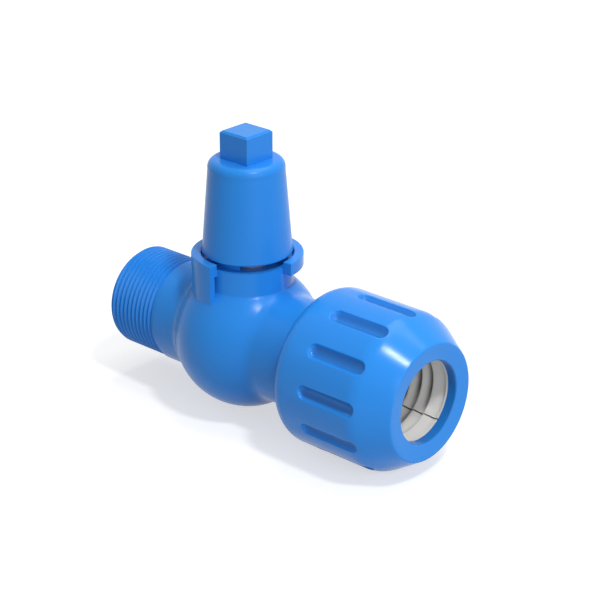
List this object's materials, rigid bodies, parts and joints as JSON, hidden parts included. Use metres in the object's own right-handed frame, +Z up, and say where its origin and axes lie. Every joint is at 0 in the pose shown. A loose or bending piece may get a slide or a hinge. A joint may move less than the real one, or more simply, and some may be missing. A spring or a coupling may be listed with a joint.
{
  "type": "shut-off valve",
  "caption": "Quarter-turn shut-off valve for a water house connection: male pipe thread, ball body, square operator cap, and a compression end with a scooped clamp nut.",
  "frame": {"origin": "centre of the ball, where the flow axis crosses the spindle axis, in the middle of the ball's waterway", "axes": "+X along the flow from the male thread to the compression end, +Z up the spindle to the operator square"},
  "size_m": [0.1551, 0.0636, 0.118],
  "materials": {
    "body_blue": "moulded acetal, glossy",
    "nut_blue": "moulded acetal, glossy",
    "cap_blue": "moulded acetal, satin gloss",
    "grip_ring_pale": "moulded acetal, natural",
    "white_acetal": "moulded acetal, natural",
    "seal_rubber": "EPDM, moulded",
    "seat_ptfe": "PTFE, machined",
    "ball_steel": "stainless steel, polished",
    "stem_brass": "turned brass",
    "stop_steel": "stainless steel, pressed",
    "spring_steel": "spring steel, phosphated"
  },
  "bodies": {
    "valve_body": {"valve_body": "body_blue", "seat_inlet": "seat_ptfe", "seat_outlet": "seat_ptfe", "seat_oring_inlet": "seal_rubber", "seat_oring_outlet": "seal_rubber", "seat_retainer": "white_acetal", "retainer_oring": "seal_rubber", "backing_washer": "white_acetal", "pipe_seal": "seal_rubber", "pressure_ring": "white_acetal", "gland_bush": "stem_brass", "gland_oring": "seal_rubber", "dust_seal": "seal_rubber"},
    "ball": {"ball": "ball_steel"},
    "spindle": {"stem": "stem_brass", "thrust_washer": "seat_ptfe", "stem_oring_lower": "seal_rubber", "stem_oring_upper": "seal_rubber", "stop_ring": "stop_steel", "operator_cap": "cap_blue", "cap_snap_ring": "spring_steel"},
    "clamp": {"grip_ring": "grip_ring_pale"},
    "clamp_nut": {"clamp_nut": "nut_blue"}
  },
  "joints": [
    {"name": "spindle_turn", "type": "hinge", "parent": "valve_body", "child": "spindle", "pos_m": [0, 0, 0], "axis": [0, 0, -1], "range_deg": [0, 90]},
    {"name": "ball_turn", "type": "hinge", "parent": "valve_body", "child": "ball", "pos_m": [0, 0, 0], "axis": [0, 0, -1], "range_deg": [0, 90]},
    {"name": "clamp_slide", "type": "slide", "parent": "valve_body", "child": "clamp", "axis": [1, 0, 0], "range_m": [0, 0.0135]},
    {"name": "nut_turn", "type": "hinge", "parent": "clamp", "child": "clamp_nut", "pos_m": [0.0668, 0, 0], "axis": [1, 0, 0], "range_deg": [0, 1080]}
  ],
  "couplings": [
    {"joint": "ball_turn", "follows": "spindle_turn", "ratio": 1},
    {"joint": "clamp_slide", "follows": "nut_turn", "m_per_rad": 0.0007162}
  ]
}
